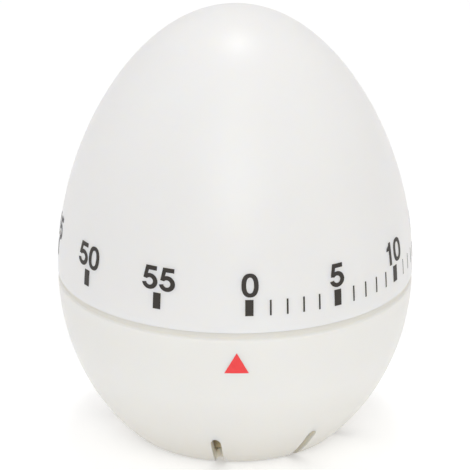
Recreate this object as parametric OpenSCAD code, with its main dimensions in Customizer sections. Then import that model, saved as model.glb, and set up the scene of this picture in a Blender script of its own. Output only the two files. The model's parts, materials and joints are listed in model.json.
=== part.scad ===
// Wind-up kitchen timer in the shape of an egg.
// The origin is the centre of the base, on the surface it stands on. +Z is up.
// The pointer on the lower shell faces -Y. The timer is drawn run down, a little past zero.
// Winding turns the upper shell clockwise seen from above, which is negative about +Z.

/* [Egg shell] */
// Largest diameter of the egg
egg_d = 60; // [54:0.5:66]
// Height of the egg
egg_h = 75; // [70:0.5:82]
// Height of the widest place
girth_z = 29.4; // [28:0.1:31]
// How much slimmer than an ellipse the upper half becomes
dome_taper = 0.088; // [0.06:0.001:0.11]
// How much of that is given back towards the tip
dome_fill = 0.04; // [0:0.005:0.06]
// Half height of the ellipse that the lower shell follows
low_depth = 35.4; // [34:0.1:38]
// Height at which the base corner starts to curve in
foot_round = 1.2; // [0.8:0.1:1.6]
// Radius of the flat base
base_r = 15.9; // [15.2:0.1:16.4]
// Wall of both shells
wall = 1.8; // [1.4:0.1:2]
// Height of the upper shell's rim
seam_z = 28.8; // [28:0.05:30]
// Gap under the upper shell's rim
seam_gap = 0.2; // [0.15:0.05:0.4]
// Height of the sloping ledge below the lower shell's collar
ledge_z = 27.6; // [27:0.05:28]
// Depth of that collar
collar_in = 0.55; // [0.3:0.05:0.8]
// Angle between the three sound slots of a group
slot_pitch = 43; // [40:0.5:45]
// Width of a sound slot
slot_w = 1.75; // [1:0.05:2.2]
// Height of the top of a slot
slot_top_z = 6.8; // [5:0.1:8]
// Angle of the first slot from the front, to the left
slot_turn = 8; // [6:0.1:10]

/* [Movement plates] */
// Radius of both plates
plate_r = 22.6; // [22:0.1:23]
// Thickness of both plates
plate_t = 1; // [0.8:0.1:1.2]
// Underside of the bottom plate
low_plate_z = 11.8; // [11.6:0.1:12]
// Underside of the top plate
high_plate_z = 26; // [25.9:0.1:26.2]
// Radius of the circle that the pillars stand on
pillar_pitch_r = 20.3; // [20:0.1:20.6]

/* [Going train] */
// Module of the main wheel and its pinion
main_module = 0.45; // [0.44:0.005:0.46]
// Teeth of the main wheel
main_teeth = 56;
// Leaves of the second pinion
second_leaves = 8;
// Module of the second wheel
second_module = 0.35; // [0.34:0.005:0.36]
// Module of the third wheel
third_module = 0.3; // [0.29:0.005:0.31]
// Teeth of the second and the third wheel
train_teeth = 42;
// Leaves of the third and the escape pinion
train_leaves = 7;
// Teeth of the escape wheel
escape_teeth = 15;
// Radius of the train's arbors
arbor_r = 0.5; // [0.45:0.01:0.55]
// Radius of their pivots
pivot_r = 0.35; // [0.3:0.01:0.4]
// Radial clearance of a running fit
run_gap = 0.05; // [0.03:0.01:0.08]

/* [Bell and hammer] */
// Outer radius of the bell
bell_r = 16; // [15.6:0.1:16.2]
// Height of the bell's rim
bell_rim_z = 9.8; // [9:0.1:9.9]
// Thickness of the bell's metal
bell_t = 0.8; // [0.6:0.1:1]
// Distance of the hammer arbor from the middle
hammer_r = 21.2; // [21:0.1:21.3]
// Direction of the hammer arbor
hammer_dir = 40; // [39:0.5:41]
// Gap between the hammer head at rest and the bell
hammer_gap = 0.8; // [0.7:0.05:1]

/* [Hidden] */
$fn = 64;
eps = 0.01;
egg_r = egg_d / 2;
high_plate_top = high_plate_z + plate_t;
low_plate_top = low_plate_z + plate_t;
second_pos = (main_teeth + second_leaves) * main_module / 2 * [0, 1];
second_r = second_pos[1];
train_r = 15;
second_span = (train_teeth + train_leaves) * second_module / 2;
third_span = (train_teeth + train_leaves) * third_module / 2;
third_dir = 90 - acos((train_r * train_r + second_r * second_r - second_span * second_span)
                      / (2 * train_r * second_r));
escape_dir = third_dir - 2 * asin(third_span / (2 * train_r));
third_pos = polar(train_r, third_dir);
escape_pos = polar(train_r, escape_dir);
pallet_pos = polar(16.7, 6.5);
hammer_pos = polar(hammer_r, hammer_dir);
pallet_dir = heading(escape_pos, pallet_pos);
escape_r = 4.5;
pin_r = 0.2;
pin_orbit = escape_r + pin_r + 0.14;
head_r = 1.3;
head_orbit = bell_r + hammer_gap + head_r;
head_dir = hammer_dir + acos(head_orbit / hammer_r);
head_pos = polar(head_orbit, head_dir);
star_r = 2.6;
tail_end_r = 0.5;
star_span = norm(third_pos - hammer_pos);
tail_reach = star_r + 0.2 + tail_end_r;
tail_dir = heading(hammer_pos, third_pos) - asin(tail_reach / star_span);
tail_pos = hammer_pos + polar(sqrt(star_span * star_span - tail_reach * tail_reach), tail_dir);
cam_r = 6.5;
follower_orbit = 9;
follower_dir = hammer_dir + acos(follower_orbit / hammer_r);
follower_pos = polar(follower_orbit, follower_dir);
nose_r = 0.6;
nose_pos = polar(cam_r + 0.2 + nose_r, follower_dir);
stop_r = 17;
stop_dir = 200;
case_screw_dirs = [103.6, 238.6, 328.6];
case_screw_r = 20.5;
pillar_dirs = [160, 270, 345];
carrier_screw_dirs = [30, 150, 270];
carrier_screw_r = 25.2;
carrier_z = 34.6;
carrier_t = 1.8;
click_pivot = [-8.8, 0];
click_nose = polar(4.65, 130);
click_len = norm(click_nose - click_pivot);
click_dir = heading(click_pivot, click_nose);
spring_end_r = 10.95;
spring_post_dir = 250;

white = [0.92, 0.91, 0.88];
brass = [0.80, 0.66, 0.34];
steel = [0.70, 0.71, 0.73];
zinc = [0.72, 0.64, 0.42];
nylon = [0.86, 0.86, 0.83];

// Point at radius r in direction a.
function polar(r, a) = [r * cos(a), r * sin(a)];

// Direction from point p to point q.
function heading(p, q) = atan2(q[1] - p[1], q[0] - p[0]);

// Half width of the lower ellipse, shrunk by s all round, at height z.
function low_radius(z, s) =
    (egg_r - s) * sqrt(1 - pow((girth_z - z) / (low_depth - s), 2));

// Point of the upper shell's outline, shrunk by s, at angle a above the girth.
function dome_point(a, s) =
    [(egg_r - s) * cos(a) * (1 - dome_taper * pow(sin(a), 2) + dome_fill * pow(sin(a), 6)),
     girth_z + (egg_h - s - girth_z) * sin(a)];

// Outline of the lower ellipse from height z0 to z1 in n steps.
function low_points(z0, z1, s, n) =
    [for (k = [0:n]) let (z = z0 + (z1 - z0) * k / n) [low_radius(z, s), z]];

// Ring of straight sided teeth: radii and half widths of one tooth from root to tip.
function tooth_ring(n, rad, half, phase) =
    [for (k = [0:n - 1])
        each concat(
            [for (s = [0:len(rad) - 1]) polar(rad[s], phase + 360 * k / n - asin(half[s] / rad[s]))],
            [for (s = [len(rad) - 1:-1:0]) polar(rad[s], phase + 360 * k / n + asin(half[s] / rad[s]))])];

// Wheel tooth: root, pitch line, shoulder and tip.
function wheel_ring(n, m, phase) =
    tooth_ring(n, [for (a = [-1.15, 0, 0.47, 0.85]) m * (n / 2 + a)],
               [for (h = [0.775, 0.625, 0.475, 0.175]) m * h], phase);

// Pinion leaf: root, pitch line, shoulder and tip.
function pinion_ring(n, m, phase) =
    tooth_ring(n, [for (a = [-1.2, 0, 0.28, 0.5]) m * (n / 2 + a)],
               [for (h = [0.375, 0.5, 0.425, 0.25]) m * h], phase);

// Ring of radius r and height h with bore b, standing on height z.
module ring(r, b, z, h) {
    translate([0, 0, z])
        difference() {
            cylinder(r = r, h = h);
            translate([0, 0, -1]) cylinder(r = b, h = h + 2);
        }
}

module rod(r, z, h) {
    translate([0, 0, z]) cylinder(r = r, h = h);
}

module at(p) {
    translate([p[0], p[1], 0]) children();
}

module around(r, dirs) {
    for (a = dirs)
        at(polar(r, a)) children();
}

// Toothed wheel with four round crossings.
module wheel(n, m, z, t, bore, phase, crossings) {
    pitch = n * m / 2;
    translate([0, 0, z])
        difference() {
            linear_extrude(t) polygon(wheel_ring(n, m, phase));
            translate([0, 0, -1]) cylinder(r = bore, h = t + 2);
            around(pitch * 0.56, crossings)
                translate([0, 0, -1]) cylinder(r = pitch * 0.24, h = t + 2, $fn = 32);
        }
}

module pinion(n, m, z, t, phase) {
    translate([0, 0, z])
        difference() {
            linear_extrude(t) polygon(pinion_ring(n, m, phase));
            translate([0, 0, -1]) cylinder(r = arbor_r, h = t + 2);
        }
}

// Arbor between the plates, with a pivot in each of them.
module train_arbor() {
    rod(pivot_r, low_plate_z + 0.1, 1.2);
    rod(arbor_r, low_plate_top + 0.2, high_plate_z - low_plate_top - 0.4);
    rod(pivot_r, high_plate_z - 0.3, 1.2);
}

// Straight lever of thickness t from p to q, with half widths w and v at its ends.
module lever(p, q, w, v, z, t) {
    a = heading(p, q);
    l = norm(q - p);
    at(p)
        rotate([0, 0, a])
            translate([0, 0, z])
                linear_extrude(t) {
                    circle(r = w);
                    polygon([[0, -w], [l, -v], [l, v], [0, w]]);
                    translate([l, 0]) circle(r = v);
                }
}

// Pan head screw: head above height z, shank below it.
module screw(r, head, z, down, up) {
    difference() {
        rod(head, z, up);
        translate([-head - 1, -0.25, z + up - 0.35]) cube([2 * head + 2, 0.5, 1]);
    }
    rod(r, z - down, down + eps);
}

// Solid body of the lower shell, without its hollow.
module low_body() {
    corner = [low_radius(foot_round, 0), foot_round];
    slope = (low_radius(foot_round + 0.1, 0) - corner[0]) / 0.1;
    knee = [corner[0] - slope * foot_round, 0];
    neck_r = egg_r - collar_in;
    rotate_extrude($fn = 128)
        polygon(concat(
            [[0, 0]],
            [for (k = [0:5]) let (t = k / 6)
                (1 - t) * (1 - t) * [base_r, 0] + 2 * t * (1 - t) * knee + t * t * corner],
            low_points(foot_round, ledge_z - 0.25, 0, 16),
            [[neck_r + 0.43, ledge_z - 0.05], [neck_r + 0.07, ledge_z + 0.3], [neck_r, ledge_z + 0.6],
             [neck_r, seam_z - seam_gap], [0, seam_z - seam_gap]]));
}

module lower_shell() {
    floor_z = 1.6;
    lip_r = egg_r - wall - 0.4;
    slot_start = 15.2;
    slot_end = low_radius(slot_top_z, 0) - slot_w / 2;
    color(white)
        difference() {
            union() {
                difference() {
                    low_body();
                    rotate_extrude($fn = 128)
                        polygon(concat(
                            [[0, floor_z]],
                            low_points(floor_z, seam_z - 2.5, wall, 14),
                            [[lip_r - 1.2, seam_z - 1.4], [lip_r - 1.2, seam_z + 1], [0, seam_z + 1]]));
                }
                ring(lip_r, lip_r - 1.2, seam_z - seam_gap - 0.2, 1.8);
                intersection() {
                    low_body();
                    around(case_screw_r, case_screw_dirs) rod(2.2, 3, low_plate_z - 3);
                }
            }
            around(case_screw_r, case_screw_dirs) rod(0.9, low_plate_z - 6.3, 8);
            translate([0, 0, -1]) cylinder(r = 3.4, h = 4);
            translate([0, 0, -1]) cylinder(r = 12.6, h = 1.6);
            for (side = [0, 180], k = [0:2])
                rotate([0, 0, side - slot_turn + k * slot_pitch])
                    translate([0, 0, -1])
                        linear_extrude(12) {
                            translate([0, -slot_end]) circle(d = slot_w, $fn = 32);
                            translate([-slot_w / 2, -slot_end]) square([slot_w, slot_end - slot_start]);
                            translate([0, -slot_start]) circle(d = slot_w, $fn = 32);
                        }
        }
}

module upper_shell() {
    color(white) {
        difference() {
            union() {
                difference() {
                    dome(0);
                    dome(wall);
                }
                intersection() {
                    dome(0.4);
                    around(carrier_screw_r, carrier_screw_dirs) rod(2.2, carrier_z + carrier_t, 30);
                }
            }
            around(carrier_screw_r, carrier_screw_dirs) rod(0.8, carrier_z, 9);
        }
    }
}

// Solid under the upper shell's outline, shrunk by s, from the rim up.
module dome(s) {
    base_z = s > 0.5 ? seam_z - 1 : seam_z;
    edge = 0.3;
    rim_r = low_radius(seam_z, 0);
    rotate_extrude($fn = 128)
        polygon(concat(
            s > 0.5 ? [[0, base_z], [egg_r - s, base_z]]
                    : [[0, base_z], [rim_r - s - edge, base_z],
                       [rim_r - s - edge * 0.3, base_z + edge * 0.3], [rim_r - s, base_z + edge]],
            [for (a = [1.5, 5, 10, 15, 20, 25, 30, 35, 40, 45, 50, 55, 60, 65, 70, 75, 80, 85])
                dome_point(a, s)],
            [dome_point(90, s)]));
}

module bottom_plate() {
    color(zinc)
        difference() {
            rod(plate_r, low_plate_z, plate_t);
            rod(2.4, low_plate_z - 1, 4);
            around(3.4, [0, 180]) rod(0.5, low_plate_z - 1, 4);
            around(case_screw_r, case_screw_dirs) rod(1, low_plate_z - 1, 4);
            around(pillar_pitch_r, pillar_dirs) rod(0.7, low_plate_z - 1, 4);
            at(polar(spring_end_r + 0.95, spring_post_dir)) rod(0.5, low_plate_z - 1, 4);
            for (p = [second_pos, third_pos, escape_pos, pallet_pos])
                at(p) rod(pivot_r + run_gap, low_plate_z - 1, 4);
            at(hammer_pos) rod(0.6 + run_gap, low_plate_z - 1, 4);
        }
}

module top_plate() {
    color(zinc)
        difference() {
            rod(plate_r, high_plate_z, plate_t);
            rod(2.6, high_plate_z - 1, 4);
            around(pillar_pitch_r, pillar_dirs) rod(0.75, high_plate_z - 1, 4);
            at(polar(stop_r, stop_dir)) rod(0.6, high_plate_z - 1, 4);
            for (p = [second_pos, third_pos, escape_pos, pallet_pos])
                at(p) rod(pivot_r + run_gap, high_plate_z - 1, 4);
            at(hammer_pos) rod(0.6 + run_gap, high_plate_z - 1, 4);
        }
}

module plate_pillars() {
    color(steel)
        around(pillar_pitch_r, pillar_dirs)
            difference() {
                rod(1.6, low_plate_top, high_plate_z - low_plate_top);
                rod(0.7, low_plate_top - 1, 5);
                rod(0.7, high_plate_z - 4, 5);
            }
}

module lower_plate_screws() {
    color(steel)
        around(pillar_pitch_r, pillar_dirs)
            translate([0, 0, low_plate_z])
                rotate([180, 0, 0]) screw(0.7, 1.4, 0, 4.6, 0.8);
}

module upper_plate_screws() {
    color(steel)
        around(pillar_pitch_r, pillar_dirs) screw(0.7, 1.4, high_plate_top, 4.6, 0.8);
}

module case_screws() {
    color(steel)
        around(case_screw_r, case_screw_dirs) screw(0.9, 1.7, low_plate_top, 6.8, 0.9);
}

// Pan shaped bell, open upwards.
module bell() {
    bend = 1.1;
    base_z = 2;
    color(zinc)
        rotate_extrude($fn = 128)
            polygon(concat(
                [[0.9, base_z]],
                [for (a = [0:15:90]) [bell_r - bend + bend * sin(a), base_z + bend * (1 - cos(a))]],
                [[bell_r, bell_rim_z], [bell_r - bell_t, bell_rim_z]],
                [for (a = [90:-15:0]) [bell_r - bend + (bend - bell_t) * sin(a),
                                       base_z + bend - (bend - bell_t) * cos(a)]],
                [[0.9, base_z + bell_t]]));
}

module bell_post() {
    color(steel)
        difference() {
            union() {
                rod(2.2, 2 + bell_t, low_plate_z - 2 - bell_t);
                rod(4.5, low_plate_z - 0.8, 0.8);
            }
            rod(0.9, 1, 7);
            around(3.4, [0, 180]) rod(0.5, low_plate_z - 2, 4);
        }
}

module bell_post_rivets() {
    color(steel)
        around(3.4, [0, 180]) {
            rod(0.9, low_plate_z - 1.2, 0.4);
            rod(0.5, low_plate_z - 0.8 - eps, 0.8 + plate_t + 2 * eps);
            rod(0.9, low_plate_top, 0.4);
        }
}

module bell_screw() {
    color(steel)
        translate([0, 0, 2])
            rotate([180, 0, 0]) screw(0.9, 2.2, 0, 5, 0.9);
}

// Flat coil around the arbor, from its core out to the anchor post.
module mainspring() {
    turns = 6;
    steps = 20;
    r0 = 2.75;
    t = 0.3;
    n = turns * steps;
    pitch = spring_end_r - r0;
    color(steel)
        translate([0, 0, low_plate_top + 1.2])
            linear_extrude(4.6)
                polygon(concat(
                    [for (k = [0:n]) polar(r0 + pitch * k / n - t / 2, spring_post_dir - 360 * (n - k) / steps)],
                    [for (k = [n:-1:0]) polar(r0 + pitch * k / n + t / 2, spring_post_dir - 360 * (n - k) / steps)]));
}

module spring_anchor_post() {
    color(steel)
        at(polar(spring_end_r + 0.95, spring_post_dir)) {
            rod(0.5, low_plate_z, plate_t + eps);
            rod(0.8, low_plate_top, 6);
        }
}

module stop_pin() {
    color(steel)
        at(polar(stop_r, stop_dir)) rod(0.6, high_plate_z, plate_t + 3.6);
}

module lower_bush() {
    color(brass) ring(2.4, 1.2 + run_gap, low_plate_z, plate_t + 0.6);
}

module upper_bush() {
    color(brass) ring(2.6, 1.5 + run_gap, high_plate_z - 0.3, plate_t + 0.6);
}

// Leaf that presses on the outer side of the hammer arm.
module hammer_spring() {
    along = heading(hammer_pos, head_pos);
    tip = hammer_pos + polar(6, along) + polar(1.34, along - 90);
    color(steel) lever(hammer_spring_pos(), tip, 0.1, 0.1, low_plate_z - 1.7, 0.8);
}

module hammer_spring_stud() {
    color(steel)
        difference() {
            at(hammer_spring_pos()) rod(0.7, low_plate_z - 1.9, 1.9);
            hammer_spring();
        }
}

function hammer_spring_pos() = polar(21.2, head_dir + 4);

module dial_carrier() {
    color(nylon)
        difference() {
            union() {
                rod(27.2, carrier_z, carrier_t);
                rod(5, 30.5, 8);
            }
            intersection() {
                rod(1.52, 30, 10);
                translate([-3, -3, 29]) cube([6, 3 + 1.07, 12]);
            }
            around(14, [90, 210, 330]) rod(5.5, carrier_z - 1, 4);
            around(15, [30, 150, 270]) rod(4.5, carrier_z - 1, 4);
            around(carrier_screw_r, carrier_screw_dirs) rod(0.8, carrier_z - 1, 4);
        }
}

module carrier_screws() {
    color(steel)
        around(carrier_screw_r, carrier_screw_dirs)
            translate([0, 0, carrier_z])
                rotate([180, 0, 0]) screw(0.8, 1.6, 0, 7, 0.9);
}

module main_arbor() {
    color(steel) {
        rod(1.2, low_plate_z + 0.1, 1.9);
        rod(2.2, low_plate_top + 0.9, 5.7);
        rod(1.9, low_plate_top + 6.6 - eps, 6.2);
        rod(1.5, low_plate_top + 12.7, 4.7);
        intersection() {
            rod(1.5, 30.2, 7.8);
            translate([-3, -3, 29]) cube([6, 3 + 1.05, 12]);
        }
    }
}

// Saw toothed wheel: a steep face, then a slope up to the next tip.
module ratchet_wheel() {
    n = 24;
    color(steel)
        translate([0, 0, 20.7])
            difference() {
                linear_extrude(1)
                    polygon([for (k = [0:n - 1]) each [polar(5, 130 + 360 * k / n),
                                                       polar(4.3, 130.5 + 360 * k / n)]]);
                translate([0, 0, -1]) cylinder(r = 1.9, h = 3);
            }
}

module alarm_cam() {
    notch = follower_dir - 5;
    color(brass)
        translate([0, 0, high_plate_top + 0.6])
            difference() {
                cylinder(r = cam_r, h = 0.8);
                translate([0, 0, -1]) cylinder(r = 1.5, h = 3);
                translate([0, 0, -1])
                    linear_extrude(3)
                        polygon([polar(5.2, notch - 15), polar(8, notch - 14),
                                 polar(8, notch + 14), polar(5.2, notch + 15)]);
            }
}

module cam_spacer() {
    color(brass) ring(2.6, 1.5, high_plate_top + 1.4, 1);
}

module stop_arm() {
    arm_dir = stop_dir - 5;
    color(steel)
        difference() {
            union() {
                rod(3, high_plate_top + 2.4, 0.8);
                rotate([0, 0, arm_dir])
                    translate([0, -0.6, high_plate_top + 2.4]) cube([stop_r + 0.9, 1.2, 0.8]);
            }
            rod(1.5, high_plate_top, 6);
        }
}

module main_wheel() {
    color(brass)
        difference() {
            wheel(main_teeth, main_module, 19.5, 1, 1.9 + run_gap, 90, [-75, -25, 25]);
            at(click_pivot) rod(0.7, 19, 3);
            at(click_spring_pos()) rod(0.6, 19, 3);
        }
}

function click_local(s, v) =
    click_pivot + polar(s, click_dir) + polar(v, click_dir + 90);

function click_spring_pos() = click_local(8.2, 3.5);

module click_stud() {
    color(steel)
        at(click_pivot) {
            rod(0.7, 19.5, 2.4);
            rod(1.2, 21.85, 0.35);
        }
}

module click_spring() {
    color(steel) lever(click_spring_pos(), click_local(1.6, 1.8), 0.1, 0.1, 20.8, 0.8);
}

module click_spring_stud() {
    color(steel)
        difference() {
            at(click_spring_pos()) {
                rod(0.6, 19.5, 1 + eps);
                rod(0.9, 20.5, 1.4);
            }
            click_spring();
        }
}

module click() {
    end = click_len - 0.15;
    color(steel)
        difference() {
            at(click_pivot)
                rotate([0, 0, click_dir])
                    translate([0, 0, 20.75])
                        linear_extrude(0.9) {
                            circle(r = 1.5);
                            polygon([[0, -1.2], [end - 2.9, -0.5], [end - 1.3, 0.35], [end, 0],
                                     [end, 0.9], [end - 1.1, 1.5], [0, 1.5]]);
                        }
            at(click_pivot) rod(0.7 + run_gap, 19, 5);
        }
}

module second_arbor() {
    color(steel) at(second_pos) train_arbor();
}

module second_pinion() {
    color(steel)
        at(second_pos)
            pinion(second_leaves, main_module, 19.3, 1.4, 270 + 180 / second_leaves);
}

module second_wheel() {
    color(brass)
        at(second_pos)
            wheel(train_teeth, second_module, 22.8, 0.7, arbor_r,
                  heading(second_pos, third_pos), [0:90:270]);
}

module third_arbor() {
    color(steel) at(third_pos) train_arbor();
}

module third_pinion() {
    color(steel)
        at(third_pos)
            pinion(train_leaves, second_module, 22.6, 1.1,
                   heading(third_pos, second_pos) + 180 / train_leaves);
}

module third_wheel() {
    color(brass)
        at(third_pos)
            wheel(train_teeth, third_module, 24.2, 0.6, arbor_r,
                  heading(third_pos, escape_pos), [0:90:270]);
}

// Six pointed star that kicks the hammer's tail.
module strike_star() {
    gap = heading(third_pos, tail_pos);
    color(steel)
        at(third_pos)
            translate([0, 0, low_plate_top + 1.8])
                difference() {
                    linear_extrude(0.8)
                        polygon([for (k = [0:5]) each [polar(1.3, gap + 60 * k), polar(1.5, gap + 60 * k + 18),
                                                       polar(star_r, gap + 60 * k + 30),
                                                       polar(1.5, gap + 60 * k + 42)]]);
                    translate([0, 0, -1]) cylinder(r = arbor_r, h = 3);
                }
}

module escape_arbor() {
    color(steel) at(escape_pos) train_arbor();
}

module escape_pinion() {
    color(steel)
        at(escape_pos)
            pinion(train_leaves, third_module, 24, 1,
                   heading(escape_pos, third_pos) + 180 / train_leaves);
}

module escape_wheel() {
    n = escape_teeth;
    color(brass)
        at(escape_pos)
            translate([0, 0, 22.5])
                difference() {
                    linear_extrude(0.6)
                        polygon([for (k = [0:n - 1]) each [polar(escape_r, pallet_dir + 360 * k / n),
                                                           polar(escape_r, pallet_dir + 1.6 + 360 * k / n),
                                                           polar(3.5, pallet_dir + 10 + 360 * k / n),
                                                           polar(3.5, pallet_dir - 2 + 360 * (k + 1) / n)]]);
                    translate([0, 0, -1]) cylinder(r = arbor_r, h = 3);
                    around(2, [0:90:270]) translate([0, 0, -1]) cylinder(r = 0.75, h = 3, $fn = 32);
                }
}

module pallet_arbor() {
    color(steel) at(pallet_pos) train_arbor();
}

function pallet_pin_pos(side) = escape_pos + polar(pin_orbit, pallet_dir + 30 * side);

module pallet_lever() {
    color(brass)
        difference() {
            union() {
                for (side = [-1, 1])
                    lever(pallet_pos, pallet_pin_pos(side), 1.3, 0.45, 23.4, 0.6);
            }
            at(pallet_pos) rod(arbor_r, 22, 4);
            for (side = [-1, 1])
                at(pallet_pin_pos(side)) rod(pin_r, 22, 4);
        }
}

module pallet_pins() {
    color(steel)
        for (side = [-1, 1])
            at(pallet_pin_pos(side)) rod(pin_r, 22.3, 1.7);
}

// Bar with a weight at each end that sets the beat.
module balance_bar() {
    color(brass)
        difference() {
            at(pallet_pos)
                rotate([0, 0, 60]) {
                    translate([-5, -0.6, 15.6]) cube([10, 1.2, 0.8]);
                    rod(1.3, 15.3, 1.4);
                    for (x = [-4.8, 4.8])
                        translate([x, 0, 0]) rod(1.1, 15.2, 1.8);
                }
            at(pallet_pos) rod(arbor_r, 14, 5);
        }
}

module hammer_arbor() {
    color(steel)
        at(hammer_pos) {
            rod(0.6, low_plate_z - 2, 3.2);
            rod(0.8, low_plate_top + 0.2, high_plate_z - low_plate_top - 0.4);
            rod(0.6, high_plate_z - 0.3, 3);
        }
}

module hammer_arm() {
    color(steel)
        difference() {
            lever(hammer_pos, head_pos, 1.5, 0.9, low_plate_z - 1.8, 0.8);
            at(hammer_pos) rod(0.6, 8, 5);
            at(head_pos) rod(0.6, 8, 5);
        }
}

module hammer_head() {
    color(brass)
        at(head_pos) {
            rod(head_r, 7.4, low_plate_z - 1.8 - 7.4);
            rod(0.6, 9, low_plate_z - 1 - 9);
        }
}

module hammer_tail() {
    color(steel)
        difference() {
            lever(hammer_pos, tail_pos, 1.6, tail_end_r, low_plate_top + 1.8, 0.8);
            at(hammer_pos) rod(0.8, 12, 6);
        }
}

module cam_follower() {
    color(steel)
        difference() {
            union() {
                lever(hammer_pos, follower_pos, 1.6, 0.9, high_plate_top + 0.6, 0.8);
                lever(follower_pos, nose_pos, 0.9, nose_r, high_plate_top + 0.6, 0.8);
            }
            at(hammer_pos) rod(0.6, high_plate_z, 5);
        }
}

lower_shell();
bottom_plate();
top_plate();
plate_pillars();
lower_plate_screws();
upper_plate_screws();
case_screws();
bell();
bell_post();
bell_post_rivets();
bell_screw();
mainspring();
spring_anchor_post();
stop_pin();
lower_bush();
upper_bush();
hammer_spring();
hammer_spring_stud();
upper_shell();
dial_carrier();
carrier_screws();
main_arbor();
ratchet_wheel();
alarm_cam();
cam_spacer();
stop_arm();
main_wheel();
click_stud();
click_spring();
click_spring_stud();
click();
second_arbor();
second_pinion();
second_wheel();
third_arbor();
third_pinion();
third_wheel();
strike_star();
escape_arbor();
escape_pinion();
escape_wheel();
pallet_arbor();
pallet_lever();
pallet_pins();
balance_bar();
hammer_arbor();
hammer_arm();
hammer_head();
hammer_tail();
cam_follower();
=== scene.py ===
import json
import math
import bpy
import bmesh
from mathutils import Matrix, Quaternion, Vector
from mathutils.geometry import tessellate_polygon


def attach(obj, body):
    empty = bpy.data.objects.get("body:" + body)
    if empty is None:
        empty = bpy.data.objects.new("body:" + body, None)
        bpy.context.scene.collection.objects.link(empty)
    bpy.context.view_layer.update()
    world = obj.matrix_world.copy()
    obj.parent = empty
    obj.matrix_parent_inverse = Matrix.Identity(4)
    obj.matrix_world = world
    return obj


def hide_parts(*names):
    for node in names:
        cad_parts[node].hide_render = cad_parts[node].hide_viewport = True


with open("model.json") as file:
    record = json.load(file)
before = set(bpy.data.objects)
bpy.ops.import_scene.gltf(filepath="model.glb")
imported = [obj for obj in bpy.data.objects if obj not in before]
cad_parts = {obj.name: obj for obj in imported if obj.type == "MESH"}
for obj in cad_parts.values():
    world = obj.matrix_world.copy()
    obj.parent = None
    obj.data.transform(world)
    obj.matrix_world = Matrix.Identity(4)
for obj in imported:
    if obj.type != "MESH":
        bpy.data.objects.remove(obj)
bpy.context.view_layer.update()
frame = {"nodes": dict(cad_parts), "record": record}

# Sizes and heights are in mm and angles in degrees, like the CAD's; MM turns them into metres.
MM = 0.001
R = 30.0             # largest radius
H = 75.0             # height of the egg
GIRTH = 29.4         # height of the widest place
TAPER = 0.088        # how much slimmer than an ellipse the upper half becomes
FILL = 0.04          # how much of that is given back towards the tip
LOW_B = 35.4         # upright half axis of the lower half's ellipse
WALL = 1.8           # wall of both shells
FOOT = 1.2           # height at which the base corner starts
BASE_R = 15.9        # radius of the flat base
RECESS_R = 12.6      # recess under the base
RECESS_H = 0.6
FLOOR_Z = 1.6        # inside floor of the lower shell
CENTRE_R = 3.4       # centre hole in the base
SEAM = 28.8          # rim of the upper shell
GAP = 0.13           # gap under that rim
LEDGE = 27.6         # sloping ledge below the lower shell's collar
COLLAR = 0.55        # how far the collar stands in from the largest radius
LIP_H = 1.6          # lip that rises inside the upper shell
LIP_T = 1.2
SLOT_PITCH = 43
SLOT_W = 1.75
SLOT_TOP = 6.8
SLOT_TURN = 8        # from the pointer to the nearest slot
SLOT_IN = 15.2       # distance from the centre to a slot's inner end
BOSS_R = 2.2
LOW_BOSSES = (103.6, 238.6, 328.6)  # angles of the screw bosses
LOW_BOSS_OUT = 20.5                 # and their distance from the centre
TOP_BOSSES = (30, 150, 270)
TOP_BOSS_OUT = 25.2
ZERO_AT = 4.53       # from the pointer to the 0 mark, at rest
MINUTE = 6
SEGMENTS = 256


# ---------------------------------------------------------------- outline of the egg
def low_r(z, s=0.0):
    """Radius of the lower half at height z, of a skin that lies s inside the outer one."""
    return (R - s) * math.sqrt(max(0.0, 1 - ((GIRTH - z) / (LOW_B - s)) ** 2))


def dome(a, s=0.0):
    """Radius and height of the upper half at angle a, from 0 at the girth to 90 at the tip."""
    c, n = math.cos(math.radians(a)), math.sin(math.radians(a))
    return (R - s) * c * (1 - TAPER * n * n + FILL * n ** 6), GIRTH + (H - s - GIRTH) * n


def egg_r(z, s=0.0):
    """Radius of the whole egg at height z."""
    if z < GIRTH:
        return low_r(z, s)
    n = min(1.0, (z - GIRTH) / (H - s - GIRTH))
    return (R - s) * math.sqrt(1 - n * n) * (1 - TAPER * n * n + FILL * n ** 6)


def surface(az, z, lift):
    """Point on the egg at azimuth az (radians, right of the front) and height z, lifted along the normal."""
    r = egg_r(z)
    d = (egg_r(z + 0.05) - egg_r(z - 0.05)) / 0.1
    k = 1 / math.hypot(1, d)
    rr, zz = r + lift * k, z - lift * d * k
    return Vector((rr * math.sin(az), -rr * math.cos(az), zz)) * MM


# ---------------------------------------------------------------- mesh helpers
def rounded(points, radii, steps=4):
    """A closed outline with its corners rounded: radii maps a point's index to its radius."""
    out, n = [], len(points)
    for i, p in enumerate(points):
        if i not in radii:
            out.append(p)
            continue
        p = Vector(p)
        a, b = Vector(points[i - 1]) - p, Vector(points[(i + 1) % n]) - p
        half = a.angle(b) / 2
        cut = min(radii[i] / math.tan(half), a.length * 0.45, b.length * 0.45)
        a, b = p + a.normalized() * cut, p + b.normalized() * cut
        for k in range(steps + 1):
            t = k / steps
            q = a * (1 - t) ** 2 + p * 2 * t * (1 - t) + b * t * t
            out.append((q.x, q.y))
    return out


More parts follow.
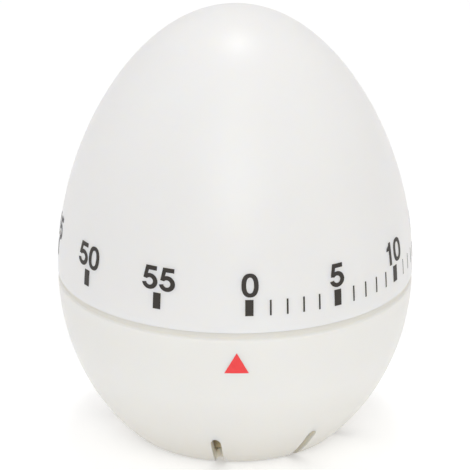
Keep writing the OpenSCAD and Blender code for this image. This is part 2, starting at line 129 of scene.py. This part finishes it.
def lathe(name, outline, closed, segments=SEGMENTS):
    """Turns an outline of (radius, height) about Z. A point at radius 0 becomes one vertex."""
    bm = bmesh.new()
    rings = []
    for r, z in outline:
        if r < 1e-6:
            rings.append([bm.verts.new((0, 0, z * MM))])
        else:
            rings.append([bm.verts.new((r * MM * math.cos(t), r * MM * math.sin(t), z * MM))
                          for t in (2 * math.pi * (k + 0.5) / segments for k in range(segments))])
    for a, b in zip(rings, rings[1:] + (rings[:1] if closed else [])):
        for k in range(segments):
            m = (k + 1) % segments
            if len(a) == 1 and len(b) == 1:
                continue
            if len(a) == 1:
                bm.faces.new((a[0], b[m], b[k]))
            elif len(b) == 1:
                bm.faces.new((a[k], a[m], b[0]))
            else:
                bm.faces.new((a[k], a[m], b[m], b[k]))
    return finish_mesh(name, bm)


def finish_mesh(name, bm, sharp=32):
    """Turns a bmesh into an object, smooth but for edges sharper than the limit."""
    bmesh.ops.recalc_face_normals(bm, faces=bm.faces)
    me = bpy.data.meshes.new(name)
    bm.to_mesh(me)
    bm.free()
    o = bpy.data.objects.new(name, me)
    bpy.context.scene.collection.objects.link(o)
    smooth(o, sharp)
    return o


def smooth(o, sharp):
    """Shades o smooth, but for edges sharper than the limit in degrees."""
    bm = bmesh.new()
    bm.from_mesh(o.data)
    limit = math.radians(sharp)
    for f in bm.faces:
        f.smooth = True
    for e in bm.edges:
        e.smooth = not (len(e.link_faces) == 2 and e.calc_face_angle(0) > limit)
    bm.to_mesh(o.data)
    bm.free()


def combine(o, tool, operation):
    """Exact boolean of o with tool, applied. The tool is removed."""
    mod = o.modifiers.new("cut", "BOOLEAN")
    mod.operation, mod.solver, mod.object = operation, "EXACT", tool
    bpy.context.view_layer.update()
    made = bpy.data.meshes.new_from_object(o.evaluated_get(bpy.context.evaluated_depsgraph_get()))
    o.modifiers.clear()
    old, o.data = o.data, made
    bpy.data.meshes.remove(old)
    bpy.data.objects.remove(tool)


def prism(name, outline, depth0, depth1, matrix):
    """An outline pushed from depth0 to depth1 along Z, then placed."""
    bm = bmesh.new()
    low = [bm.verts.new((x * MM, y * MM, depth0 * MM)) for x, y in outline]
    top = [bm.verts.new((x * MM, y * MM, depth1 * MM)) for x, y in outline]
    n = len(outline)
    bm.faces.new(low[::-1])
    bm.faces.new(top)
    for k in range(n):
        bm.faces.new((low[k], low[(k + 1) % n], top[(k + 1) % n], top[k]))
    bm.transform(matrix)
    return finish_mesh(name, bm)


def joined(name, objects):
    """One object made of the others' meshes, which are removed."""
    bm = bmesh.new()
    for o in objects:
        bm.from_mesh(o.data)
        bpy.data.objects.remove(o)
    return finish_mesh(name, bm)


def arc(cx, cy, rx, ry, a0, a1, n=14, power=2.0):
    """Points of a (super)ellipse arc from angle a0 to a1, in degrees."""
    out = []
    for k in range(n + 1):
        t = math.radians(a0 + (a1 - a0) * k / n)
        c, s = math.cos(t), math.sin(t)
        out.append((cx + rx * math.copysign(abs(c) ** (2 / power), c),
                    cy + ry * math.copysign(abs(s) ** (2 / power), s)))
    return out


def pegs(name, turns, out, radius, low, high, sides):
    """Upright round pegs on a circle, in one object: bosses, or the tool that cuts their screw holes."""
    made = []
    for a in turns:
        x, y = out * math.cos(math.radians(a)), out * math.sin(math.radians(a))
        ring = arc(x, y, radius, radius, 0, 360 - 360 / sides, sides - 1)
        made.append(prism(name, ring, low, high, Matrix.Identity(4)))
    return joined(name, made)


# ---------------------------------------------------------------- materials
def material(name, rough, metallic=0.0, spec=0.5):
    m = bpy.data.materials.new(name)
    m.use_nodes = True
    t = m.node_tree
    b = t.nodes["Principled BSDF"]
    b.inputs["Roughness"].default_value = rough
    b.inputs["Metallic"].default_value = metallic
    b.inputs["Specular IOR Level"].default_value = spec
    return m, t, b


def add(t, kind, **values):
    """A new node with the given inputs and settings."""
    n = t.nodes.new(kind)
    for k, v in values.items():
        if k in n.inputs:
            n.inputs[k].default_value = v
        else:
            setattr(n, k, v)
    return n


def coords(t, scale=(1, 1, 1)):
    c = add(t, "ShaderNodeTexCoord")
    m = add(t, "ShaderNodeMapping")
    m.inputs["Scale"].default_value = scale
    t.links.new(c.outputs["Object"], m.inputs["Vector"])
    return m.outputs["Vector"]


def noise(t, vector, scale, detail=3.0, rough=0.55):
    n = add(t, "ShaderNodeTexNoise", Scale=scale, Detail=detail, Roughness=rough)
    t.links.new(vector, n.inputs["Vector"])
    return n.outputs["Fac"]


def ramp(t, fac, stops):
    """A colour ramp. Each stop is a position and a colour, or a single level in brackets."""
    r = add(t, "ShaderNodeValToRGB")
    while len(r.color_ramp.elements) < len(stops):
        r.color_ramp.elements.new(0.5)
    for e, (p, c) in zip(r.color_ramp.elements, stops):
        e.position, e.color = p, (*c, 1) if len(c) == 3 else (c[0], c[0], c[0], 1)
    t.links.new(fac, r.inputs["Fac"])
    return r.outputs["Color"]


def bump(t, b, height, strength, distance):
    n = add(t, "ShaderNodeBump", Strength=strength, Distance=distance)
    t.links.new(height, n.inputs["Height"])
    t.links.new(n.outputs["Normal"], b.inputs["Normal"])


def moulded(name, dark, light, rough, grain=1400.0, depth=0.12, spec=0.5):
    """Moulded plastic: faint clouding of the colour, uneven gloss and a fine grain."""
    m, t, b = material(name, rough, spec=spec)
    v = coords(t)
    cloud = noise(t, v, 28.0, 2.0)
    t.links.new(ramp(t, cloud, [(0.3, dark), (0.7, light)]), b.inputs["Base Color"])
    fine = noise(t, v, 210.0, 4.0)
    t.links.new(ramp(t, fine, [(0.3, (rough - 0.05,)), (0.7, (rough + 0.05,))]), b.inputs["Roughness"])
    bump(t, b, noise(t, v, grain, 2.0), depth, 0.00006)
    b.inputs["Subsurface Weight"].default_value = 0.5
    b.inputs["Subsurface Radius"].default_value = (1.0, 0.85, 0.6)
    b.inputs["Subsurface Scale"].default_value = 0.0035
    return m


def between(t, value, low, high):
    """Runs from 0 where value is low to 1 where it is high."""
    n = add(t, "ShaderNodeMapRange")
    n.inputs["From Min"].default_value, n.inputs["From Max"].default_value = low, high
    t.links.new(value, n.inputs["Value"])
    return n.outputs["Result"]


def inward_tint(m):
    """Paints light and shade into the lower shell's colour: painted warm shade on the collar and on the walls
    of its slots, painted shade that darkens the foot towards the bottom, and painted light that makes the
    slot walls a lighter tan.

    The collar and the slot walls are told from the outer skin by how far inside the egg's ellipsoid they lie.
    """
    t = m.node_tree
    b = t.nodes["Principled BSDF"]
    c = add(t, "ShaderNodeTexCoord")
    egg = add(t, "ShaderNodeMapping")
    egg.inputs["Scale"].default_value = (1 / (R * MM), 1 / (R * MM), 1 / (LOW_B * MM))
    egg.inputs["Location"].default_value = (0, 0, -GIRTH / LOW_B)
    t.links.new(c.outputs["Object"], egg.inputs["Vector"])
    reach = add(t, "ShaderNodeVectorMath", operation="LENGTH")
    t.links.new(egg.outputs["Vector"], reach.inputs[0])
    # Painted shade: surfaces lying inside the egg's outer skin, the collar under the upper rim and the slot
    # walls, are multiplied towards a warm tan, warmer the deeper inside they lie, for the shade and warm
    # bounce light in these recesses. The mix below keeps it off the underside.
    crevice_shade = ramp(t, reach.outputs["Value"], [(0.945, (1.0, 0.93, 0.78)), (0.972, (1.0, 0.96, 0.87)),
                                            (0.984, (1.0, 0.98, 0.93)), (0.993, (1.0, 1.0, 1.0))])
    axes = add(t, "ShaderNodeSeparateXYZ")
    t.links.new(c.outputs["Object"], axes.inputs["Vector"])
    mix = add(t, "ShaderNodeMix", data_type="RGBA", blend_type="MULTIPLY")
    t.links.new(between(t, axes.outputs["Z"], 0.0007, 0.002), mix.inputs["Factor"])
    t.links.new(b.inputs["Base Color"].links[0].from_socket, mix.inputs["A"])
    t.links.new(crevice_shade, mix.inputs["B"])
    # Painted shade: over the lowest 16 mm the colour is darkened and warmed towards the bottom of the shell,
    # where less light reaches.
    foot = add(t, "ShaderNodeMix", data_type="RGBA", blend_type="MULTIPLY")
    foot.inputs["Factor"].default_value = 1.0
    t.links.new(mix.outputs["Result"], foot.inputs["A"])
    t.links.new(ramp(t, between(t, axes.outputs["Z"], 0.0, 0.016),
                     [(0.0, (0.86, 0.842, 0.805)), (0.5, (0.95, 0.944, 0.93)), (1.0, (1.0, 1.0, 1.0))]),
                foot.inputs["B"])
    # Painted light: the slot walls, lying inside the outer skin and below 8 to 10 mm, are mixed towards a
    # light tan, as if lit through the slots.
    wall = add(t, "ShaderNodeMath", operation="MULTIPLY")
    t.links.new(between(t, reach.outputs["Value"], 0.99, 0.97), wall.inputs[0])
    t.links.new(between(t, axes.outputs["Z"], 0.01, 0.008), wall.inputs[1])
    painted_slot_wall_light = add(t, "ShaderNodeMix", data_type="RGBA")
    t.links.new(wall.outputs["Value"], painted_slot_wall_light.inputs["Factor"])
    t.links.new(foot.outputs["Result"], painted_slot_wall_light.inputs["A"])
    painted_slot_wall_light.inputs["B"].default_value = (0.94, 0.88, 0.76, 1)
    t.links.new(painted_slot_wall_light.outputs["Result"], b.inputs["Base Color"])


def metal(name, dark, light, rough, stretch=(1, 1, 1), scale=160.0, spots=None, metallic=1.0):
    """Stamped or turned metal: drawn lines or grain, slight tarnish."""
    m, t, b = material(name, rough, metallic=metallic)
    lines = noise(t, coords(t, stretch), scale, 5.0, 0.6)
    stains = noise(t, coords(t), 60.0, 3.0)
    mix = add(t, "ShaderNodeMix", data_type="RGBA")
    mix.inputs["Factor"].default_value = 0.5
    t.links.new(ramp(t, stains, [(0.35, dark), (0.65, light)]), mix.inputs["A"])
    t.links.new(ramp(t, lines, [(0.3, dark), (0.7, light)] if spots is None else spots), mix.inputs["B"])
    t.links.new(mix.outputs["Result"], b.inputs["Base Color"])
    t.links.new(ramp(t, lines, [(0.25, (rough - 0.08,)), (0.75, (rough + 0.1,))]), b.inputs["Roughness"])
    bump(t, b, lines, 0.1, 0.00003)
    return m


def ink(name, dark, light):
    """Pad printed ink: nearly matt, with a slightly uneven film."""
    m, t, b = material(name, 0.5, spec=0.5)
    v = coords(t)
    t.links.new(ramp(t, noise(t, v, 900.0, 3.0), [(0.3, dark), (0.7, light)]), b.inputs["Base Color"])
    bump(t, b, noise(t, v, 2400.0, 2.0), 0.15, 0.00002)
    return m


white = moulded("white_plastic", (0.746, 0.736, 0.725), (0.770, 0.760, 0.749), 0.34, spec=0.36)
white_low = moulded("white_plastic_base", (0.745, 0.733, 0.703), (0.769, 0.757, 0.728), 0.36, spec=0.36)
inward_tint(white_low)
nylon = moulded("natural_nylon", (0.60, 0.59, 0.54), (0.68, 0.67, 0.62), 0.5, grain=700.0, depth=0.3)
black_ink = ink("scale_ink", (0.0165, 0.0120, 0.0080), (0.0225, 0.0170, 0.0120))
red_ink = ink("pointer_ink", (0.74, 0.032, 0.036), (0.80, 0.045, 0.048))
zinc = metal("yellow_zinc_sheet", (0.50, 0.40, 0.21), (0.56, 0.46, 0.25), 0.34, (1, 9, 1), 320.0,
             [(0.25, (0.51, 0.40, 0.20)), (0.5, (0.55, 0.46, 0.25)), (0.75, (0.53, 0.48, 0.30))])
bell_metal = metal("drawn_bell_metal", (0.60, 0.50, 0.30), (0.72, 0.62, 0.41), 0.5, (1, 1, 9), 110.0,
                   metallic=0.35)
brass = metal("stamped_brass", (0.62, 0.45, 0.18), (0.69, 0.51, 0.21), 0.3, (12, 1, 1), 420.0)
steel = metal("bright_steel", (0.49, 0.49, 0.50), (0.56, 0.56, 0.57), 0.28, (1, 1, 8), 260.0)
blued = metal("spring_steel", (0.13, 0.14, 0.16), (0.18, 0.19, 0.22), 0.32, (1, 1, 12), 220.0)
FINISH = {"inner_plastic": nylon, "zinc_plated_plate": zinc, "bell_metal": bell_metal, "brass": brass,
          "steel": steel, "white_plastic": white}
SPRINGS = ("mainspring", "click_spring", "hammer_spring")


def dress(o, m):
    o.data.materials.clear()
    o.data.materials.append(m)


for part in frame["record"]["subparts"]:
    o = frame["nodes"][part["node"]]
    m = blued if part["node"] in SPRINGS else FINISH[part["material_slot"]]
    for k in range(max(1, len(o.data.materials))):
        if k < len(o.data.materials):
            o.data.materials[k] = m
        else:
            o.data.materials.append(m)


# ---------------------------------------------------------------- lower shell
def slot_tools():
    """The six upright cutters of the sound slots, three on each side."""
    half = SLOT_W / 2
    far = low_r(SLOT_TOP) - half
    outline = arc(0, -SLOT_IN, half, half, 0, 180, 16) + arc(0, -far, half, half, 180, 360, 24)
    return joined("slots", [prism("slot", outline, -1, 11,
                                  Matrix.Rotation(math.radians(side - SLOT_TURN + k * SLOT_PITCH), 4, "Z"))
                            for side in (0, 180) for k in range(3)])


def low_outline():
    """Outline of the lower shell: recess, base corner, outer skin, ledge, collar, lip and inner skin."""
    corner_r = low_r(FOOT)
    slope = (low_r(FOOT + 0.1) - corner_r) / 0.1
    lip = R - WALL - 0.4
    top = SEAM - GAP
    pts, radii = [], {}

    def corner(p, r):
        radii[len(pts)] = r
        pts.append(p)

    corner((CENTRE_R, RECESS_H), 0.2)
    pts.extend((CENTRE_R + (RECESS_R - CENTRE_R) * k / 6, RECESS_H) for k in range(1, 6))
    corner((RECESS_R, RECESS_H), 0.2)
    corner((RECESS_R, 0.0), 0.25)
    knee = corner_r - slope * FOOT
    for k in range(12):
        t = k / 12
        pts.append((BASE_R * (1 - t) ** 2 + knee * 2 * t * (1 - t) + corner_r * t * t, FOOT * t * t))
    for k in range(71):
        z = FOOT + (LEDGE - 0.25 - FOOT) * k / 70
        pts.append((low_r(z), z))
    collar = R - COLLAR
    corner((collar + 0.43, LEDGE - 0.05), 0.2)
    corner((collar + 0.07, LEDGE + 0.3), 0.3)
    corner((collar, LEDGE + 0.6), 0.3)
    corner((collar, top), 0.1)
    pts.append((lip + 0.25, top))
    pts.append((lip + 0.07, top + 0.07))
    pts.append((lip, top + 0.25))
    corner((lip, top + LIP_H), 0.3)
    corner((lip - LIP_T, top + LIP_H), 0.3)
    pts.append((lip - LIP_T, LEDGE - 0.2))
    under_lip = LEDGE - 1.3
    for k in range(28):
        z = under_lip + (FLOOR_Z - under_lip) * k / 27
        pts.append((low_r(z, WALL), z))
    floor_r = low_r(FLOOR_Z, WALL)
    pts.extend((floor_r - (floor_r - CENTRE_R) * k / 6, FLOOR_Z) for k in range(1, 6))
    corner((CENTRE_R, FLOOR_Z), 0.2)
    return rounded(pts, radii)


def lower_shell():
    shell = lathe("lower_shell_body", low_outline(), True)
    boss = pegs("bosses", LOW_BOSSES, LOW_BOSS_OUT, BOSS_R, low=3, high=11.8, sides=64)
    inside = [(low_r(z, 0.6), z) for z in (2, 4, 6, 8, 10, 12)]
    solid = lathe("inside", [(0, 2)] + inside + [(0, 12)], False, 128)
    combine(boss, solid, "INTERSECT")
    combine(shell, boss, "UNION")
    holes = pegs("holes", LOW_BOSSES, LOW_BOSS_OUT, radius=0.9, low=5.5, high=13.5, sides=32)
    combine(shell, holes, "DIFFERENCE")
    combine(shell, slot_tools(), "DIFFERENCE")
    smooth(shell, 30)
    return shell


# ---------------------------------------------------------------- upper shell
def upper_shell():
    rim = low_r(SEAM)
    pts = [(R - WALL, SEAM + 0.1), (R - WALL + 0.15, SEAM)]
    pts += [(rim - 0.3, SEAM), (rim - 0.15, SEAM + 0.04), (rim - 0.04, SEAM + 0.15), (rim, SEAM + 0.3)]
    pts += [dome(1.2 + 88.8 * k / 74) for k in range(74)] + [(0, H)]
    pts += [(0, H - WALL)] + [dome(90 - 88.5 * k / 36, WALL) for k in range(1, 36)] + [(R - WALL, SEAM + 0.6)]
    shell = lathe("upper_shell_body", pts, True)
    boss = pegs("bosses", TOP_BOSSES, TOP_BOSS_OUT, BOSS_R, low=36.4, high=66.4, sides=64)
    inside = [dome(a, 0.9) for a in range(4, 90, 4)]
    solid = lathe("inside", [(0, inside[0][1])] + inside + [dome(90, 0.9)], False, 128)
    combine(boss, solid, "INTERSECT")
    combine(shell, boss, "UNION")
    holes = pegs("holes", TOP_BOSSES, TOP_BOSS_OUT, radius=0.8, low=34, high=43.6, sides=32)
    combine(shell, holes, "DIFFERENCE")
    smooth(shell, 30)
    return shell


# ---------------------------------------------------------------- printed marks
def glyph(d):
    """Outlines of a bold digit, 2.85 wide and 3.95 high, as (outer, holes)."""
    if d == "0":
        return arc(1.42, 1.98, 1.42, 2.0, 0, 350, 35, 2.35), [arc(1.42, 1.98, 0.64, 1.33, 0, 345, 23, 2.35)]
    if d == "1":
        return ([(1.85, 0), (1.85, 3.95), (1.24, 3.95)] + arc(0.35, 4.02, 0.86, 0.86, -8, -80, 5)
                + [(0.36, 2.62), (1.12, 2.62), (1.12, 0)]), []
    if d == "2":
        return ([(0.04, 0), (2.76, 0), (2.76, 0.68), (1.16, 0.68), (1.62, 1.12), (2.2, 1.55), (2.6, 2.02)]
                + arc(1.42, 2.68, 1.34, 1.31, -14, 184, 20) + arc(1.42, 2.66, 0.64, 0.68, 184, -12, 14)
                + [(1.84, 2.16), (1.3, 1.72), (0.66, 1.2), (0.2, 0.64)]), []
    if d == "3":
        return (arc(1.4, 1.24, 1.38, 1.26, 188, 402, 22) + arc(1.4, 2.86, 1.24, 1.12, -38, 176, 20)
                + arc(1.4, 2.84, 0.56, 0.54, 176, -62, 14) + [(1.18, 2.3), (1.18, 1.74)]
                + arc(1.38, 1.22, 0.7, 0.62, 70, -172, 16)), []
    if d == "4":
        return ([(1.6, 0), (2.28, 0), (2.28, 0.88), (2.8, 0.88), (2.8, 1.5), (2.28, 1.5), (2.28, 3.95),
                 (1.62, 3.95), (0.05, 1.58), (0.05, 0.88), (1.6, 0.88)],
                [[(1.6, 1.5), (0.66, 1.5), (1.6, 2.94)]])
    return ([(0.6, 3.95), (0.2, 1.8), (0.92, 1.7)] + arc(1.4, 1.31, 0.64, 0.62, 142, -167, 18)
            + arc(1.42, 1.31, 1.44, 1.33, 192, 467, 28) + [(1.16, 3.22), (2.62, 3.22), (2.62, 3.95)]), []


INK_OUT = 0.02       # how far the prints stand out of the shell
INK_IN = 0.05        # and how far they reach into it
INK_CELL = 0.6       # the prints are cut into cells this wide, to follow the shell's curve


def print_on(name, shapes, place):
    """Closed thin prints of flat shapes [(outer, holes)], wrapped on the egg by place(s, t, depth)."""
    bm = bmesh.new()
    for outer, holes in shapes:
        loops = [[Vector((x, y, 0)) for x, y in loop] for loop in [outer] + holes]
        flat = [p for loop in loops for p in loop]
        verts = [bm.verts.new(p) for p in flat]
        for tri in tessellate_polygon(loops):
            if (verts[tri[1]].co - verts[tri[0]].co).cross(verts[tri[2]].co - verts[tri[0]].co).length > 1e-9:
                bm.faces.new([verts[k] for k in tri])
    xs = [v.co.x for v in bm.verts]
    ys = [v.co.y for v in bm.verts]
    for axis, low, high in ((0, min(xs), max(xs)), (1, min(ys), max(ys))):
        n = int((high - low) / INK_CELL)
        normal = Vector((1, 0, 0)) if axis == 0 else Vector((0, 1, 0))
        for k in range(1, n + 1):
            at = low + (high - low) * k / (n + 1)
            bmesh.ops.bisect_plane(bm, geom=bm.verts[:] + bm.edges[:] + bm.faces[:], dist=1e-5,
                                   plane_co=normal * at, plane_no=normal)
    bmesh.ops.recalc_face_normals(bm, faces=bm.faces)
    made = bmesh.ops.extrude_face_region(bm, geom=bm.faces[:])
    for v in made["geom"]:
        if isinstance(v, bmesh.types.BMVert):
            v.co.z = 1
    for v in bm.verts:
        v.co = place(v.co.x, v.co.y, INK_OUT if v.co.z > 0.5 else -INK_IN)
    return finish_mesh(name, bm, 40)


def wrapped(az, z0, tilt=0.0):
    """Places a flat shape on the egg: s runs right from azimuth az and t runs up from height z0."""
    def place(s, t, depth):
        a = math.radians(az) + s / egg_r(z0 + 1.5)
        return surface(a, z0 + t - tilt * R * math.sin(a), depth)
    return place


DIGIT_Z = 35.15
DIGIT_W = 2.85
DIGIT_PITCH = 3.14
MARK_Z = 31.95       # foot of the bars and ticks
BAR_H = 2.77
TICK_H = 2.65
POINTER_Z = 21.55
PRINT_TILT = 0.0075  # the scale sits very slightly crooked on the shell


def shifted(loops, dx):
    outer, holes = loops
    return [(x + dx, y) for x, y in outer], [[(x + dx, y) for x, y in h] for h in holes]


def mark_az(minutes):
    """Azimuth of a five-minute mark. The 10 sits slightly nearer to the 5 than even spacing would put it."""
    return ZERO_AT + minutes * MINUTE - {10: 1.3}.get(minutes, 0.0)


def number(minutes):
    """A number of the scale. A 1 stands closer to the next digit, and some sit off their bar's middle."""
    text = str(minutes)
    width = DIGIT_PITCH * (len(text) - 1) + DIGIT_W
    x = {0: 0.13, 55: 0.14, 10: -0.2}.get(minutes, 0.0) - width / 2
    shapes = []
    for d in text:
        shapes.append(shifted(glyph(d), x + (0.42 if d == "1" else 0.0)))
        x += DIGIT_PITCH
    return print_on(f"number_{minutes}", shapes, wrapped(mark_az(minutes), DIGIT_Z, PRINT_TILT))


def stroke(name, az, half, height):
    """An upright mark of the scale, twice half wide."""
    return print_on(name, [([(-half, 0), (half, 0), (half, height), (-half, height)], [])],
                    wrapped(az, MARK_Z, PRINT_TILT))


upper = upper_shell()
dress(upper, white)
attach(upper, "dial")
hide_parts("upper_shell")

lower = lower_shell()
dress(lower, white_low)
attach(lower, "case")
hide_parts("lower_shell")

numbers = joined("printed_numbers", [number(m) for m in range(0, 60, 5)])
bars = joined("printed_bars", [stroke("bar", mark_az(m), 0.68, BAR_H) for m in range(0, 60, 5)])
# Ticks after 0, 5 and 10: the mark, an offset and the pitch in degrees, and half of a tick's width
TICK_GROUPS = ((0, 1.3, 5.48, 0.15), (5, 1.1, 5.35, 0.15), (10, 0.1, 5.4, 0.09))
ticks = joined("printed_ticks", [stroke("tick", ZERO_AT + m * MINUTE + first + pitch * k, half, TICK_H)
                                 for m, first, pitch, half in TICK_GROUPS for k in range(1, 5)])
for o in (numbers, bars, ticks):
    smooth(o, 40)
    dress(o, black_ink)
    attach(o, "dial")

pointer = print_on("printed_pointer", [([(0, 3.8), (-2.05, 0), (2.05, 0)], [])],
                   wrapped(0.6, POINTER_Z))
dress(pointer, red_ink)
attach(pointer, "case")


# ---------------------------------------------------------------- floor, light and camera
def floor():
    """Pale paper floor that glows faintly all over, and more near the object: painted light that lifts the
    contact shadow around the base.
    """
    bm = bmesh.new()
    bmesh.ops.create_grid(bm, x_segments=8, y_segments=8, size=3.0)
    o = finish_mesh("floor", bm)
    m, t, b = material("paper_floor", 0.9, spec=0.1)
    v = coords(t)
    t.links.new(ramp(t, noise(t, v, 40.0), [(0.3, (0.84, 0.84, 0.84)), (0.7, (0.86, 0.86, 0.86))]),
                b.inputs["Base Color"])
    b.inputs["Emission Color"].default_value = (0.985, 0.99, 1, 1)
    # Painted light: emission 0.28 within 22 mm of the centre, falling to 0.13 beyond 55 mm, a pool of light
    # around the base.
    out = add(t, "ShaderNodeVectorMath", operation="LENGTH")
    t.links.new(add(t, "ShaderNodeTexCoord").outputs["Object"], out.inputs[0])
    near_object_glow = add(t, "ShaderNodeMapRange", interpolation_type="SMOOTHSTEP")
    for key, value in (("From Min", 0.022), ("From Max", 0.055), ("To Min", 0.28), ("To Max", 0.13)):
        near_object_glow.inputs[key].default_value = value
    t.links.new(out.outputs["Value"], near_object_glow.inputs["Value"])
    t.links.new(near_object_glow.outputs["Result"], b.inputs["Emission Strength"])
    dress(o, m)
    return o


def lamp(name, size, power, place, target, colour):
    data = bpy.data.lights.new(name, "AREA")
    data.shape, data.size, data.size_y, data.energy, data.color = "RECTANGLE", size[0], size[1], power, colour
    o = bpy.data.objects.new(name, data)
    o.location = place
    o.rotation_mode = "QUATERNION"
    o.rotation_quaternion = (Vector(target) - Vector(place)).to_track_quat("-Z", "Y")
    o.visible_camera = False
    bpy.context.scene.collection.objects.link(o)


floor()
lamp("top_softbox", (0.18, 0.18), 0.97, (0.007, 0.1, 0.7), (0, 0, 0.06), (0.93, 0.96, 1.0))
lamp("high_front_softbox", (0.3, 0.3), 0.36, (0.0, -0.5, 0.65), (0, 0, 0.03), (1.0, 0.92, 0.7))
lamp("front_softbox", (0.5, 0.4), 1.36, (0.0, -0.75, 0.42), (0, 0, 0.03), (0.93, 0.98, 1.0))
lamp("side_softbox", (0.4, 0.6), 0.13, (0.75, -0.25, 0.3), (0, 0, 0.03), (1.0, 0.88, 0.4))

scene = bpy.context.scene
scene.view_settings.view_transform = "Standard"
scene.view_settings.look = "None"
world = bpy.data.worlds.new("light_tent")
world.use_nodes = True
world.node_tree.nodes["Background"].inputs["Color"].default_value = (1.0, 0.988, 0.986, 1)
world.node_tree.nodes["Background"].inputs["Strength"].default_value = 0.815
scene.world = world

ELEV = 20.99         # the camera looks down by this angle
ROLL = 0.2
DIST = 0.8           # metres from the camera to the point it looks at
AIM_Z = 0.034678     # height of that point, in metres
IMAGE = 470          # width of the image
FOCAL = 4729.3       # focal length, measured in the image's pixels
e = math.radians(ELEV)
back = Vector((0, -math.cos(e), math.sin(e)))
cam = bpy.data.cameras.new("camera")
cam.sensor_width = 36
cam.lens = FOCAL * 36 / IMAGE
cam.shift_x = -0.2 / IMAGE
cam.clip_start, cam.clip_end = 0.01, 50
eye = bpy.data.objects.new("camera", cam)
eye.location = Vector((0, 0, AIM_Z)) + back * DIST
eye.rotation_mode = "QUATERNION"
eye.rotation_quaternion = (-back).to_track_quat("-Z", "Y") @ Quaternion((0, 0, 1), math.radians(ROLL))
scene.collection.objects.link(eye)
scene.camera = eye
